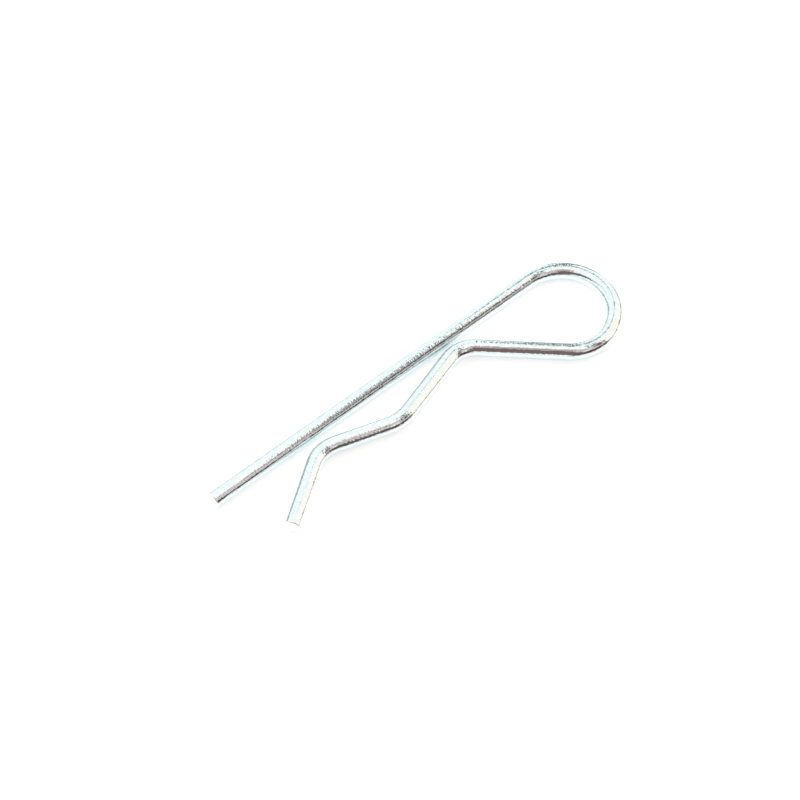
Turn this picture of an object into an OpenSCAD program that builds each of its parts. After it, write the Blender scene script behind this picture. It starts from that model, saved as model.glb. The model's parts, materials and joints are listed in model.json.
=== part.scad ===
// Hitch R clip: one length of round spring wire, bent flat in a single plane.
// The straight leg goes through a cross hole in a shaft. The bent leg rides over the shaft until
// the pocket snaps round it, and the loop at the back is the spring and the finger hold.
//
// The clip lies flat, as it comes to rest. X runs along the straight leg, from its cut end to the
// loop. The bent leg is on the -Y side. The origin is the middle of the clip's footprint, on Z = 0.
// Every bend radius is given to the middle of the wire.

/* [Wire] */
// Diameter of the wire
wire_d = 3; // [2:0.1:4]
// Radius of the rounded edge round both cut ends
cut_edge_r = 0.25; // [0.05:0.05:0.8]
// Growth of the wire's radius where it is bent
bend_swell = 0.002; // [0.002:0.001:0.02]

/* [Loop] */
// Radius of the loop
loop_r = 8.85; // [7:0.05:12]
// Turn of the loop, from the straight leg to where its curve ends, in degrees
loop_turn = 147; // [120:1:170]
// Length of the straight run from the loop to the heel
loop_to_heel = 0.6; // [0.2:0.1:5]
// Radius of the heel, the bend that leads out of the loop into the bent leg
heel_r = 7.3; // [5:0.1:9]

/* [Throat] */
// Radius of the throat bend, which nearly touches the straight leg
throat_r = 5; // [3:0.1:6]
// Clear gap between the throat bend and the straight leg
throat_gap = 0.6; // [0.2:0.05:2]
// Distance from the throat bend to the start of the loop, along the straight leg
throat_to_loop = 19.1; // [16:0.1:30]

/* [Pocket] */
// Diameter of the shaft that the pocket holds
shaft_d = 12.7; // [10:0.1:15]
// Play between that shaft and the pocket
shaft_play = 0.05; // [0:0.05:0.5]
// Distance from the middle of the pocket to the throat bend, along the straight leg
pocket_to_throat = 16.2; // [14:0.1:22]

/* [Mouth] */
// Radius of the mouth bend, which keeps the shaft in the pocket
mouth_r = 6.5; // [3:0.1:8]
// Clear gap between the mouth bend and the straight leg
mouth_gap = 1.4; // [0.2:0.05:3]
// Distance from the mouth bend to the middle of the pocket, along the straight leg
mouth_to_pocket = 13.3; // [12.5:0.1:20]
// Distance from the straight leg's cut end to the mouth bend
tip_to_mouth = 21.5; // [18:0.1:35]

/* [Flare] */
// Angle between the flared end and the straight leg, in degrees
flare_angle = 33; // [15:1:50]
// Length of the flared end beyond the mouth bend
flare_len = 13.9; // [6:0.1:18]

/* [Hidden] */
$fn = 48;

wire_r = wire_d / 2;
bend_wire_r = wire_r + bend_swell;
lap = 0.03; // how far a bend reaches over the ends of the straight runs beside it

// Places along the straight leg's axis, which is Y = 0, from its cut end at X = 0
pocket_x = tip_to_mouth + mouth_to_pocket;
throat_x = pocket_x + pocket_to_throat;
leg_len = throat_x + throat_to_loop;

// Each bend is [middle of the bend, radius, side], with side 1 where the wire turns left round it
// and -1 where it turns right, going from the straight leg round the loop to the flared end
loop = [[leg_len, -loop_r], loop_r, -1];
heel_start = leave(loop, -loop_turn) + loop_to_heel * along(-loop_turn);
heel = [heel_start - heel_r * left_of(-loop_turn), heel_r, -1];
throat = [[throat_x, -(wire_r + throat_gap + bend_wire_r + throat_r)], throat_r, 1];
pocket = [[pocket_x, 0], shaft_d / 2 + shaft_play + bend_wire_r, -1];
mouth = [[tip_to_mouth, -(wire_r + mouth_gap + bend_wire_r + mouth_r)], mouth_r, 1];

// Headings of the wire on the straight runs between bends, in degrees from +X
heel_run = heading(heel, throat);
throat_run = heading(throat, pocket);
pocket_run = heading(pocket, mouth);
flare_run = flare_angle - 180;

// Footprint of the clip
flare_tip = leave(mouth, flare_run) + flare_len * along(flare_run);
flare_side = (wire_r - cut_edge_r) * cos(flare_angle) + cut_edge_r * (1 - sin(flare_angle));
low_x = min(0, flare_tip.x - wire_r);
high_x = leg_len + loop_r + bend_wire_r;
low_y = min(heel[0].y - heel_r - bend_wire_r, -pocket[1] - bend_wire_r, flare_tip.y - flare_side);
high_y = bend_wire_r;

// Unit vectors along a heading, and to the left of it
function along(heading) = [cos(heading), sin(heading)];
function left_of(heading) = [-sin(heading), cos(heading)];

// Heading of the straight run that leaves bend a and meets bend b, tangent to both
function heading(a, b) =
    let (span = b[0] - a[0])
    atan2(span.y, span.x) - asin((b[2] * b[1] - a[2] * a[1]) / norm(span));

// Point where the wire meets or leaves a bend at a heading
function leave(bend, heading) = bend[0] - bend[2] * bend[1] * left_of(heading);

// Length of the straight run from bend a to bend b
function run_len(a, b) = norm(leave(b, heading(a, b)) - leave(a, heading(a, b)));

// Turn from one heading to the next, from 0 to 360 degrees, to the side that the bend turns
function turn(bend, from, to) = let (t = bend[2] * (to - from)) t - 360 * floor(t / 360);

// Straight run of wire along +X, with what follows at its far end
module run(length) {
    rotate([0, 90, 0]) cylinder(h = length, r = wire_r);
    translate([length, 0, 0]) children();
}

// Bend of the wire, starting along +X, with what follows at its far end
module bend(bend, angle) {
    radius = bend[1];
    middle = [0, bend[2] * radius, 0];
    lap_angle = asin(lap / radius);
    first = bend[2] > 0 ? -90 : 90 - angle;
    translate(middle) {
        rotate([0, 0, first - lap_angle])
            rotate_extrude(angle = angle + 2 * lap_angle)
                translate([radius, 0]) circle(r = bend_wire_r);
        rotate([0, 0, bend[2] * angle]) translate(-middle) children();
    }
}

// Cut end of the wire along +X: a flat face with a rounded edge
module cut_end() {
    core_r = wire_r - cut_edge_r;
    rotate([0, 90, 0]) rotate_extrude() {
        square([core_r, cut_edge_r]);
        intersection() {
            translate([core_r, 0]) circle(r = cut_edge_r);
            translate([core_r, 0]) square(cut_edge_r);
        }
    }
}

// The whole clip, from the straight leg's cut end to the flared end's
module clip() {
    color([0.78, 0.80, 0.82])
        translate([-(low_x + high_x) / 2, -(low_y + high_y) / 2, bend_wire_r])
            translate([cut_edge_r, 0, 0]) {
                mirror([1, 0, 0]) cut_end();
                run(leg_len - cut_edge_r)
                    bend(loop, loop_turn)
                    run(loop_to_heel)
                    bend(heel, turn(heel, -loop_turn, heel_run))
                    run(run_len(heel, throat))
                    bend(throat, turn(throat, heel_run, throat_run))
                    run(run_len(throat, pocket))
                    bend(pocket, turn(pocket, throat_run, pocket_run))
                    run(run_len(pocket, mouth))
                    bend(mouth, turn(mouth, pocket_run, flare_run))
                    run(flare_len - cut_edge_r)
                    cut_end();
            }
}

clip();
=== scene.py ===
"""Hitch R clip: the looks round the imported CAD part, in metres, in its frame.

The wire is swept along the same runs and bends as the part's source. Its UV map follows the wire, so the
drawing marks run with it round the bends, and its finish knows how near a cut end is.
"""

import json
import math

import bpy
import numpy as np
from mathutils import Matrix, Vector


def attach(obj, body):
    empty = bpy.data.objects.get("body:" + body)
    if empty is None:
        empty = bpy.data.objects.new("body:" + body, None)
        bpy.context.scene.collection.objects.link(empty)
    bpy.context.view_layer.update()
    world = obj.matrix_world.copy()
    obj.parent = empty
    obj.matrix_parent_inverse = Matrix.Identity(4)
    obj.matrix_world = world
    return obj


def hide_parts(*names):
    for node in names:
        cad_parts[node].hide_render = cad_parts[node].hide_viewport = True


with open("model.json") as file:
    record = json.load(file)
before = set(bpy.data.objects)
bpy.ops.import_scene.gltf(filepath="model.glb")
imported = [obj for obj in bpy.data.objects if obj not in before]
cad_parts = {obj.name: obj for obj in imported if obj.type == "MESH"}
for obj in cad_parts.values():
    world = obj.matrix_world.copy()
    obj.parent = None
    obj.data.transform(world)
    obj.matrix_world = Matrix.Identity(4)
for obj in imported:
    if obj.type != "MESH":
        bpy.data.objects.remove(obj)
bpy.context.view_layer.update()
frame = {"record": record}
MM = 0.001

# ------------------------------------------------------------------ sizes, as in the part's source, mm
WIRE_D = 3.0
CUT_EDGE_R = 0.25
LOOP_R, LOOP_TURN, LOOP_TO_HEEL, HEEL_R = 8.85, 147.0, 0.6, 7.3
THROAT_R, THROAT_GAP, THROAT_TO_LOOP = 5.0, 0.6, 19.1
SHAFT_D, SHAFT_PLAY, POCKET_TO_THROAT = 12.7, 0.05, 16.2
MOUTH_R, MOUTH_GAP, MOUTH_TO_POCKET, TIP_TO_MOUTH = 6.5, 1.4, 13.3, 21.5
FLARE_ANGLE, FLARE_LEN = 33.0, 13.9

WIRE_R = WIRE_D / 2
FACE_R = WIRE_R - CUT_EDGE_R    # flat part of a cut face

# ------------------------------------------------------------------ mesh fineness
RING_STEP = 0.2     # mm between rings along the wire
AROUND = 64         # corners of a ring
EDGE_STEPS = 5      # steps round a cut edge
FACE_RINGS = 9      # rings across a cut face


# ------------------------------------------------------------------ the wire's path, mm
# It starts at 0, 0, the leg's cut end, and runs along X first. A heading is in radians from +X. A bend is
# (middle, radius, side), with side 1 where the wire turns left round it and -1 where it turns right.


def along(h):
    """Unit vector along a heading."""
    return np.array([math.cos(h), math.sin(h)])


def left_of(h):
    """Unit vector to the left of a heading."""
    return np.array([-math.sin(h), math.cos(h)])


def heading(a, b):
    """Heading of the straight run that leaves bend a and meets bend b."""
    span = b[0] - a[0]
    return math.atan2(span[1], span[0]) - math.asin((b[2] * b[1] - a[2] * a[1]) / np.linalg.norm(span))


def leave(bend, h):
    """Point where the wire meets or leaves a bend at a heading."""
    return bend[0] - bend[2] * bend[1] * left_of(h)


def bends_and_runs():
    """The five bends from the leg to the flare, and the heading of the straight run after each."""
    pocket_x = TIP_TO_MOUTH + MOUTH_TO_POCKET
    throat_x = pocket_x + POCKET_TO_THROAT
    leg_len = throat_x + THROAT_TO_LOOP
    turned = -math.radians(LOOP_TURN)
    loop = (np.array([leg_len, -LOOP_R]), LOOP_R, -1)
    heel_start = leave(loop, turned) + LOOP_TO_HEEL * along(turned)
    heel = (heel_start - HEEL_R * left_of(turned), HEEL_R, -1)
    throat = (np.array([throat_x, -(WIRE_D + THROAT_GAP + THROAT_R)]), THROAT_R, 1)
    pocket = (np.array([pocket_x, 0.0]), SHAFT_D / 2 + SHAFT_PLAY + WIRE_R, -1)
    mouth = (np.array([TIP_TO_MOUTH, -(WIRE_D + MOUTH_GAP + MOUTH_R)]), MOUTH_R, 1)
    runs = [
        turned,
        heading(heel, throat),
        heading(throat, pocket),
        heading(pocket, mouth),
        math.radians(FLARE_ANGLE) - math.pi,
    ]
    return [loop, heel, throat, pocket, mouth], runs


def wire_path():
    """Points, headings and lengths of the middle line between the cut edges, and the loop's middle."""
    bends, runs = bends_and_runs()
    points, headings = [], []

    def line(start, end, h):
        n = max(2, round(np.linalg.norm(end - start) / RING_STEP))
        for t in np.arange(n) / n:
            points.append(start + (end - start) * t)
            headings.append(h)

    def arc(bend, h0, h1):
        turn = bend[2] * (h1 - h0) % (2 * math.pi)
        n = max(4, round(turn * bend[1] / RING_STEP))
        for t in np.arange(n) / n:
            h = h0 + bend[2] * turn * t
            points.append(leave(bend, h))
            headings.append(h)

    h, at = 0.0, np.array([CUT_EDGE_R, 0.0])
    for bend, after in zip(bends, runs):
        line(at, leave(bend, h), h)
        arc(bend, h, after)
        h, at = after, leave(bend, after)
    end = at + (FLARE_LEN - CUT_EDGE_R) * along(h)
    line(at, end, h)
    points.append(end)
    headings.append(h)
    points, headings = np.array(points), np.array(headings)
    steps = np.linalg.norm(np.diff(points, axis=0), axis=1)
    lengths = np.concatenate([[0], np.cumsum(steps)]) + CUT_EDGE_R
    loop_middle = bends[0][0]
    return points, headings, lengths, loop_middle


# ------------------------------------------------------------------ the wire's skin, mm
# The shears left a smooth lip at the top of each end, and the rest tore.
LIP_DEPTH = 0.015           # how far the lip lies inside the cut face's plane
TORN_DEPTH = 0.075          # how much deeper the torn rest is
TORN_WAVE = 0.016           # amplitude of each of the waves on it
WAVES = [                   # radians for each mm to the left, radians for each mm up, and phase
    (5.1, 2.3, 0.0),
    (-3.1, 7.7, 1.0),
]
TEAR_LEVEL = 0.35           # how far above the middle of the face the lip ends
TEAR_SLOPE = 0.5            # how much higher it ends for each mm to the left
TEAR_WIDTH = 0.5            # height over which it turns into the torn rest


def cut_relief(across, rise):
    """How far a cut face lies inside its plane, at a place to the left of its middle and above it.

    The relief runs out towards the face's edge.
    """
    out = math.hypot(across, rise) / FACE_R
    t = min(max((across * TEAR_SLOPE - rise + TEAR_LEVEL) / TEAR_WIDTH, 0.0), 1.0)
    torn = t * t * (3 - 2 * t)
    waves = sum(math.sin(left * across + up * rise + phase) for left, up, phase in WAVES)
    return (LIP_DEPTH + torn * (TORN_DEPTH + TORN_WAVE * waves)) * (1 - out ** 4)


def wire_rings(points, headings, lengths):
    """Rings as (middle, heading, radius, length along the wire), and the wire's whole length.

    They go from the middle of the leg's cut face to the middle of the flare's. Across a cut face, the
    length runs on past the wire's end, so that the UV map isn't squeezed there.
    """
    total = lengths[-1] + CUT_EDGE_R
    face = [(FACE_R * (i + 1) / FACE_RINGS, 0.0) for i in range(FACE_RINGS)]
    edge = [
        (FACE_R + CUT_EDGE_R * math.sin(a), CUT_EDGE_R * (1 - math.cos(a)))
        for a in (math.pi / 2 * np.arange(1, EDGE_STEPS) / EDGE_STEPS)
    ]
    rings = []
    for radius, back in face + edge:
        at = points[0] - along(headings[0]) * (CUT_EDGE_R - back)
        rings.append((at, headings[0], radius, back - (FACE_R - min(radius, FACE_R))))
    for at, h, length in zip(points, headings, lengths):
        rings.append((at, h, WIRE_R, length))
    for radius, back in reversed(face + edge):
        at = points[-1] + along(headings[-1]) * (CUT_EDGE_R - back)
        rings.append((at, headings[-1], radius, total - back + (FACE_R - min(radius, FACE_R))))
    return rings, total


def skin_corners(rings):
    """Corners of every ring, then the middles of the leg's and the flare's cut faces."""
    corners = []
    for i, (at, h, radius, _) in enumerate(rings):
        inward = 1 if i < FACE_RINGS else -1 if i >= len(rings) - FACE_RINGS else 0
        for a in 2 * math.pi * np.arange(AROUND) / AROUND:
            across, rise = radius * math.cos(a), radius * math.sin(a)
            flat = at + left_of(h) * across + along(h) * inward * cut_relief(across, rise)
            corners.append((*flat, rise))
    for (at, h, *_), inward in ((rings[0], 1), (rings[-1], -1)):
        middle = at + along(h) * inward * cut_relief(0.0, 0.0)
        corners.append((*middle, 0.0))
    return np.array(corners)


def skin_faces(rings, total):
    """Faces of the skin, and the UV place of each of their corners: mm along the wire, and mm round it."""
    faces, uvs = [], []
    girth = 2 * math.pi * WIRE_R

    def corner(i, j):
        return i * AROUND + j % AROUND

    for i in range(len(rings) - 1):
        u0, u1 = rings[i][3], rings[i + 1][3]
        for j in range(AROUND):
            v0, v1 = girth * j / AROUND, girth * (j + 1) / AROUND
            faces.append((corner(i, j), corner(i, j + 1), corner(i + 1, j + 1), corner(i + 1, j)))
            uvs += [(u0, v0), (u0, v1), (u1, v1), (u1, v0)]
    last = len(rings) - 1
    leg_middle, flare_middle = len(rings) * AROUND, len(rings) * AROUND + 1
    u0, u1 = rings[0][3], rings[last][3]
    for j in range(AROUND):
        v0, v1 = girth * j / AROUND, girth * (j + 1) / AROUND
        faces.append((leg_middle, corner(0, j + 1), corner(0, j)))
        uvs += [(-FACE_R, v0), (u0, v1), (u0, v0)]
        faces.append((flare_middle, corner(last, j), corner(last, j + 1)))
        uvs += [(total + FACE_R, v0), (u1, v0), (u1, v1)]
    return faces, uvs


WIRE_UV = "WireMm"


def make_wire():
    """The wire as one closed mesh, set in the frame by the mount in its loop, and its length in mm."""
    points, headings, lengths, loop_middle = wire_path()
    rings, total = wire_rings(points, headings, lengths)
    mounts = {m["name"]: m for m in frame["record"]["mounts"]}
    shift = np.array(mounts["eye"]["pos_m"]) / MM - np.array([*loop_middle, 0.0])
    corners = (skin_corners(rings) + shift) * MM
    faces, uvs = skin_faces(rings, total)
    mesh = bpy.data.meshes.new("clip_wire")
    mesh.from_pydata(corners.tolist(), [], faces)
    layer = mesh.uv_layers.new(name=WIRE_UV)
    layer.data.foreach_set("uv", np.array(uvs, np.float32).ravel())
    mesh.polygons.foreach_set("use_smooth", [True] * len(mesh.polygons))
    mesh.validate()
    mesh.update()
    piece = bpy.data.objects.new("clip_wire", mesh)
    bpy.context.scene.collection.objects.link(piece)
    return piece, total


# ------------------------------------------------------------------ shader helpers
class Tree:
    """Short calls that add and join shader nodes. Every colour is given as red, green and blue."""

    def __init__(self, tree):
        self.tree = tree
        tree.nodes.clear()

    def node(self, kind, links=(), **values):
        """A node with these property values, and a value or another node's output in each socket named."""
        n = self.tree.nodes.new(kind)
        for key, value in values.items():
            setattr(n, key, value)
        for socket, value in dict(links).items():
            target = n.inputs[socket]
            if isinstance(value, bpy.types.NodeSocket):
                self.tree.links.new(value, target)
            else:
                target.default_value = (*value, 1) if target.type == "RGBA" else value
        return n

    def math(self, operation, *values):
        return self.node("ShaderNodeMath", dict(enumerate(values)), operation=operation).outputs[0]

    def noise(self, place, scale, detail=0.0, roughness=0.5):
        sockets = {"Vector": place, "Scale": scale, "Detail": detail, "Roughness": roughness}
        return self.node("ShaderNodeTexNoise", sockets).outputs[0]

    def ramp(self, value, low, high, out_low=0.0, out_high=1.0):
        """A smooth step from out_low, where the value is at low, to out_high, where it is at high."""
        n = self.node(
            "ShaderNodeMapRange",
            {0: value, 1: low, 2: high, 3: out_low, 4: out_high},
            interpolation_type="SMOOTHSTEP",
        )
        return n.outputs[0]

    def mix(self, share, a, b):
        """Colour a, with a share of colour b."""
        return self.node("ShaderNodeMix", {0: share, 6: a, 7: b}, data_type="RGBA").outputs[2]

    def surface(self, kind, sockets, output="ShaderNodeOutputMaterial"):
        """The shader that the tree ends in."""
        shader = self.node(kind, sockets)
        self.node(output, {"Surface": shader.outputs[0]})


def new_material(name):
    """A material with an empty node tree, and the short calls for that tree."""
    material = bpy.data.materials.new(name)
    material.use_nodes = True
    return material, Tree(material.node_tree)


# ------------------------------------------------------------------ the wire's finish
RELIEF = 0.0001                                 # m, for a height of 1
GRAIN_SCALE, GRAIN_HEIGHT = 3000.0, 0.22        # the zinc's fine grain, with its scale per m
LUMP_SCALE, LUMP_HEIGHT = 1500.0, 0.08          # its larger lumps, also per m
STREAK_SCALE, STREAK_HEIGHT = 1.6, 0.02         # the drawing marks, per mm of the wire's UV map
STREAK_STRETCH = (0.5, 3.0, 1.0)                # makes them long along the wire and narrow round it
NOISE_RANGE = (0.3, 0.7)                        # where most of a noise's values are
ZINC_ROUGHNESS = (0.02, 0.06)
ZINC_COLOURS = ((0.68, 0.78, 0.80), (0.73, 0.82, 0.84))
CUT_ROUGHNESS = 0.45
CUT_COLOUR = (0.95, 0.95, 0.94)
CUT_FADE = (0.38, 0.22)                         # mm from the end where the cut's look starts and is full


def zinc(length):
    """Bright zinc on drawn steel wire of a length in mm, with the duller faces of its cut ends."""
    material, t = new_material("zinc_plated_wire")
    uv = t.node("ShaderNodeUVMap", uv_map=WIRE_UV).outputs[0]
    place = t.node("ShaderNodeTexCoord").outputs["Object"]
    stretched = t.node("ShaderNodeMapping", {"Vector": uv, "Scale": STREAK_STRETCH}).outputs[0]
    streaks = t.noise(stretched, STREAK_SCALE, detail=4.0, roughness=0.6)
    grain = t.noise(place, GRAIN_SCALE)
    lumps = t.noise(place, LUMP_SCALE)
    height = t.math("ADD", t.math("MULTIPLY", grain, GRAIN_HEIGHT), t.math("MULTIPLY", lumps, LUMP_HEIGHT))
    height = t.math("ADD", height, t.math("MULTIPLY", streaks, STREAK_HEIGHT))
    bump = t.node("ShaderNodeBump", {"Strength": 1.0, "Distance": RELIEF, "Height": height}).outputs[0]
    grain_and_streaks = t.math("ADD", t.math("MULTIPLY", grain, 0.5), t.math("MULTIPLY", streaks, 0.5))
    rough = t.ramp(grain_and_streaks, *NOISE_RANGE, *ZINC_ROUGHNESS)
    colour = t.mix(t.ramp(lumps, *NOISE_RANGE), *ZINC_COLOURS)
    along_wire = t.node("ShaderNodeSeparateXYZ", {"Vector": uv}).outputs["X"]
    near_end = t.math("MINIMUM", along_wire, t.math("SUBTRACT", length, along_wire))
    cut = t.ramp(near_end, *CUT_FADE)
    rough = t.math("MAXIMUM", rough, t.math("MULTIPLY", cut, CUT_ROUGHNESS))
    colour = t.mix(cut, colour, CUT_COLOUR)
    t.surface(
        "ShaderNodeBsdfPrincipled",
        {"Base Color": colour, "Metallic": 1.0, "Roughness": rough, "Normal": bump},
    )
    return material


# ------------------------------------------------------------------ the light tent
# It is what the wire sees round it. Angles are in degrees, and azimuth is counted from +X towards +Y. A
# patch is (azimuth, elevation, half width, softness, colour), and later patches lie over earlier ones.
TENT_R = 0.20                                   # m
TENT_LIGHT = (1.22, 1.22, 1.18)                 # plain cloth, lit through
WARM_LIGHT = [                                  # from above, and from one side
    (60, 88, 24, 8, (1.33, 1.21, 1.18)),
    (330, 26, 32, 9, (1.38, 1.21, 1.08)),
]
DIFFUSER = (353, 23, 43.5)                      # azimuth, elevation and half width of a round diffuser
SEAM = (2.2, 0.7, (0.22, 0.25, 0.27))           # half width, softness and colour of the dark seam round it
SEAM_GAPS = [                                   # where that seam doesn't show
    (54, 49, 8, 4, TENT_LIGHT),
    (20, 61, 6, 4, (1.20, 1.20, 1.17)),
]
FOOT_SOFT, FOOT_SIDE_SOFT = 1.0, 4              # softness of a foot's top and of its sides
TENT_FEET = [                                   # azimuth, half width, height and colour of each darker foot
    (340, 42, 4.5, (0.28, 0.28, 0.27)),
    (36, 11, 12, (0.25, 0.27, 0.28)),
    (75, 10, 9, (0.68, 0.71, 0.71)),
    (95, 10, 14, (0.25, 0.27, 0.28)),
    (157, 44, 5, (0.42, 0.43, 0.43)),
]
ONLOOKERS = [                                   # taken to be the photographer and the camera over the clip
    (137, 42, 5, 4, (0.45, 0.52, 0.52)),
    (301, 54, 6, 4, (0.48, 0.45, 0.43)),
    (115, 42, 9, 7, (1.00, 0.97, 1.05)),
    (240, 69, 13, 6, (0.58, 0.47, 0.44)),
    (166, 42, 11, 4, (0.13, 0.17, 0.21)),
    (186, 44, 14, 4, (0.17, 0.17, 0.20)),
    (206, 41, 15, 4, (0.21, 0.16, 0.17)),
    (234, 34, 26, 5, (0.24, 0.16, 0.15)),
    (262, 4, 24, 5, (0.17, 0.12, 0.11)),
    (285, 5, 19, 4, (0.13, 0.06, 0.05)),
    (302, 26, 6, 4, (0.56, 0.42, 0.39)),
    (291, 35, 8, 4, (0.82, 0.57, 0.54)),
    (296, 3, 12, 4, (0.14, 0.07, 0.06)),
    (268, 50, 12, 5, (0.80, 0.64, 0.60)),
    (279, 56, 3, 3, (0.35, 0.32, 0.32)),
    (315, 56, 6, 4, (0.42, 0.42, 0.43)),
    (307, 40, 8, 3, (0.13, 0.12, 0.12)),
]


def direction(azimuth, elevation):
    """Unit vector towards a place on the tent."""
    a, e = math.radians(azimuth), math.radians(elevation)
    return Vector((math.cos(a) * math.cos(e), math.sin(a) * math.cos(e), math.sin(e)))


def edge_cosines(half, soft):
    """Cosines of the angles from a patch's middle at which its soft edge starts and at which it is full."""
    return math.cos(math.radians(half + soft)), math.cos(math.radians(half - soft))


def tent_material():
    """Light whose colour depends on the place on the tent."""
    material, t = new_material("light_tent")
    place = t.node("ShaderNodeTexCoord").outputs["Object"]
    outward = t.node("ShaderNodeVectorMath", {0: place}, operation="NORMALIZE").outputs[0]

    def facing(azimuth, elevation):
        sockets = {0: outward, 1: direction(azimuth, elevation)}
        return t.node("ShaderNodeVectorMath", sockets, operation="DOT_PRODUCT").outputs["Value"]

    def patches(rows, colour):
        for azimuth, elevation, half, soft, patch_colour in rows:
            inside = t.ramp(facing(azimuth, elevation), *edge_cosines(half, soft))
            colour = t.mix(inside, colour, patch_colour)
        return colour

    def seam(colour):
        azimuth, elevation, half = DIFFUSER
        seam_half, soft, seam_colour = SEAM
        angle = t.math("DEGREES", t.math("ARCCOSINE", facing(azimuth, elevation)))
        off = t.math("ABSOLUTE", t.math("SUBTRACT", angle, half))
        return t.mix(t.ramp(off, seam_half + soft, seam_half - soft), colour, seam_colour)

    def feet(colour):
        height = t.math("DEGREES", t.math("ARCSINE", facing(0, 90)))
        for azimuth, half, top, foot_colour in TENT_FEET:
            low = t.ramp(height, top + FOOT_SOFT, top - FOOT_SOFT)
            side = t.ramp(facing(azimuth, 0), *edge_cosines(half, FOOT_SIDE_SOFT))
            colour = t.mix(t.math("MULTIPLY", low, side), colour, foot_colour)
        return colour

    colour = patches(WARM_LIGHT, TENT_LIGHT)
    colour = feet(seam(colour))
    colour = patches(SEAM_GAPS + ONLOOKERS, colour)
    t.surface("ShaderNodeEmission", {"Color": colour, "Strength": 1.0})
    return material


def tent():
    """A dome over the clip, which lights it and shows in its shine, and which the camera looks through."""
    bpy.ops.mesh.primitive_uv_sphere_add(segments=96, ring_count=48, radius=TENT_R)
    piece = bpy.context.object
    piece.name = "light_tent"
    material = tent_material()
    material.cycles.emission_sampling = "NONE"
    piece.data.materials.append(material)
    piece.visible_camera = False
    piece.visible_shadow = False


# ------------------------------------------------------------------ the room, the key light and the floor
ROOM_COLOUR = (1.3, 1.3, 1.3)                   # the room beyond the tent
KEY = (70, 50, 0.30, 0.16, 0.3)                 # azimuth, elevation, distance and size in m, and watts
FLOOR_HALF = 6.0                                # m from the clip to the floor's edges
FLOOR_GLOW = (0.09, 0.15, 0.5, 1.1)             # two distances from the clip in m, and the glow at each


def room():
    """Even light from all round."""
    world = bpy.data.worlds.new("room")
    bpy.context.scene.world = world
    world.use_nodes = True
    sockets = {"Color": ROOM_COLOUR, "Strength": 1.0}
    Tree(world.node_tree).surface("ShaderNodeBackground", sockets, output="ShaderNodeOutputWorld")


def key_light():
    """Soft light from behind the clip, which doesn't show in its shine."""
    azimuth, elevation, distance, size, watts = KEY
    data = bpy.data.lights.new("key_light", "AREA")
    data.shape = "DISK"
    data.size = size
    data.energy = watts
    piece = bpy.data.objects.new("key_light", data)
    bpy.context.scene.collection.objects.link(piece)
    towards = direction(azimuth, elevation)
    piece.location = towards * distance
    piece.rotation_mode = "QUATERNION"
    piece.rotation_quaternion = towards.to_track_quat("Z", "Y")
    piece.visible_camera = False
    piece.visible_glossy = False


def floor():
    """A light table with a clear coat. Its glow rises away from the clip, to keep its far parts bright."""
    mesh = bpy.data.meshes.new("floor")
    corners = [(x * FLOOR_HALF, y * FLOOR_HALF, 0) for x, y in ((-1, -1), (1, -1), (1, 1), (-1, 1))]
    mesh.from_pydata(corners, [], [(0, 1, 2, 3)])
    piece = bpy.data.objects.new("floor", mesh)
    bpy.context.scene.collection.objects.link(piece)
    material, t = new_material("light_table")
    place = t.node("ShaderNodeTexCoord").outputs["Object"]
    from_clip = t.node("ShaderNodeVectorMath", {0: place}, operation="LENGTH").outputs["Value"]
    t.surface(
        "ShaderNodeBsdfPrincipled",
        {
            "Base Color": (0.90, 0.90, 0.90),
            "Roughness": 0.9,
            "Specular IOR Level": 0.1,
            "Coat Weight": 1.0,
            "Coat Roughness": 0.06,
            "Emission Color": (1, 1, 1),
            "Emission Strength": t.ramp(from_clip, *FLOOR_GLOW),
        },
    )
    mesh.materials.append(material)


# ------------------------------------------------------------------ the camera
VIEW_AZIMUTH, VIEW_ELEVATION = -41.52, 52.18    # degrees, and azimuth is counted from -Y towards +X here
VIEW_WIDTH = 133.33                             # mm across the picture
LENS, SENSOR_WIDTH = 1000.0, 36.0               # mm
CLIP_START, CLIP_END = 0.05, 50.0               # m
LOOK_AT = Vector((-2.65, 4.10, 1.55)) * MM


def camera():
    """The camera, with a long lens, at the photograph's viewing angle."""
    data = bpy.data.cameras.new("camera")
    data.lens, data.sensor_width = LENS, SENSOR_WIDTH
    data.clip_start, data.clip_end = CLIP_START, CLIP_END
    piece = bpy.data.objects.new("camera", data)
    bpy.context.scene.collection.objects.link(piece)
    back = direction(VIEW_AZIMUTH - 90, VIEW_ELEVATION)
    distance = VIEW_WIDTH * MM / SENSOR_WIDTH * LENS
    piece.location = LOOK_AT + back * distance
    piece.rotation_mode = "QUATERNION"
    piece.rotation_quaternion = (-back).to_track_quat("-Z", "Y")
    bpy.context.scene.camera = piece


wire, wire_length = make_wire()
wire.data.materials.append(zinc(wire_length))
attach(wire, "root")
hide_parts("clip")
floor()
tent()
room()
key_light()
camera()
bpy.context.scene.view_settings.view_transform = "Standard"
